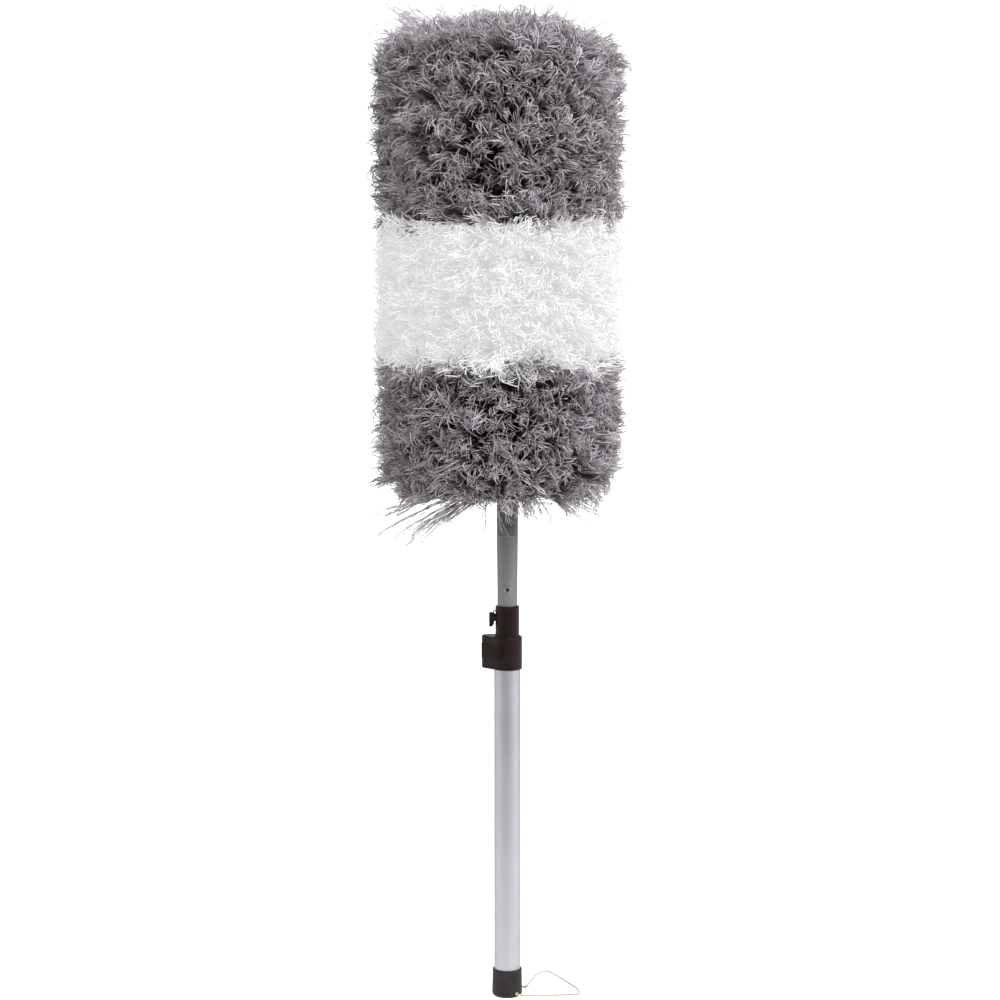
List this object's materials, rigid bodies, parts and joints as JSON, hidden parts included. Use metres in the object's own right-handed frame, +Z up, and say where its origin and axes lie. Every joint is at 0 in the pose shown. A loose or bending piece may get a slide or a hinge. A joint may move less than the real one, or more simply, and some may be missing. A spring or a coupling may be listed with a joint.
{
  "type": "telescopic feather duster",
  "caption": "Feather duster with a cylindrical plume head in grey and white bands on a telescopic pole with a flip lock, release tab, end cap and hanging cord.",
  "frame": {"origin": "centre of the end cap's bottom face, on the pole's axis", "axes": "+Z up the pole towards the plume head, -Y towards the side with the lock lever's finger end and the rivet, +X towards the side where the hanging cord lies"},
  "size_m": [0.234, 0.234, 0.9453],
  "materials": {
    "tube_aluminium": "satin",
    "cap_plastic": "satin",
    "lock_plastic": "satin",
    "socket_plastic": "satin",
    "bush_plastic": "satin",
    "hub_plastic": "satin",
    "steel": "satin",
    "rivet_metal": "satin",
    "backing_fabric": "matte",
    "plume_grey": "matte",
    "plume_white": "matte",
    "twine": "matte"
  },
  "bodies": {
    "grip": {"end_cap": "cap_plastic", "outer_tube": "tube_aluminium", "lock_collar": "lock_plastic", "guide_sleeve": "lock_plastic", "clamp_bolt": "steel", "clamp_nut": "steel", "tab_pivot_pin": "steel"},
    "extension": {"inner_tube": "tube_aluminium", "guide_bush": "bush_plastic", "head_socket": "socket_plastic", "socket_rivet": "rivet_metal", "core_tube": "tube_aluminium", "core_plug": "bush_plastic", "lower_hub": "hub_plastic", "top_plate": "hub_plastic", "end_washer": "steel", "end_screw": "steel", "backing_lower": "backing_fabric", "backing_middle": "backing_fabric", "backing_upper": "backing_fabric", "fringe_lower": "plume_grey", "fringe_middle": "plume_white", "fringe_upper": "plume_grey"},
    "lever": {"lock_lever": "lock_plastic", "lever_pivot_pin": "steel"},
    "tab": {"release_tab": "lock_plastic", "catch_wire": "steel", "tab_spring": "steel"},
    "loop": {"hang_cord": "twine"}
  },
  "joints": [
    {"name": "pole_slide", "type": "slide", "parent": "grip", "child": "extension", "axis": [0, 0, 1], "range_m": [0, 0.27]},
    {"name": "lock_lever_swing", "type": "hinge", "parent": "grip", "child": "lever", "pos_m": [-0.02094, 0.0064, 0.33815], "axis": [0, 0, -1], "range_deg": [0, 90]},
    {"name": "release_tab_press", "type": "hinge", "parent": "grip", "child": "tab", "pos_m": [-0.0133, 0, 0.3711], "axis": [0, -1, 0], "range_deg": [0, 9], "stiffness_Nm_per_rad": 0.05},
    {"name": "hang_cord_swing", "type": "hinge", "parent": "grip", "child": "loop", "pos_m": [0.01125, -0.00281, 0.0046], "axis": [0.2419, 0.9703, 0], "range_deg": [-45, 90]}
  ]
}
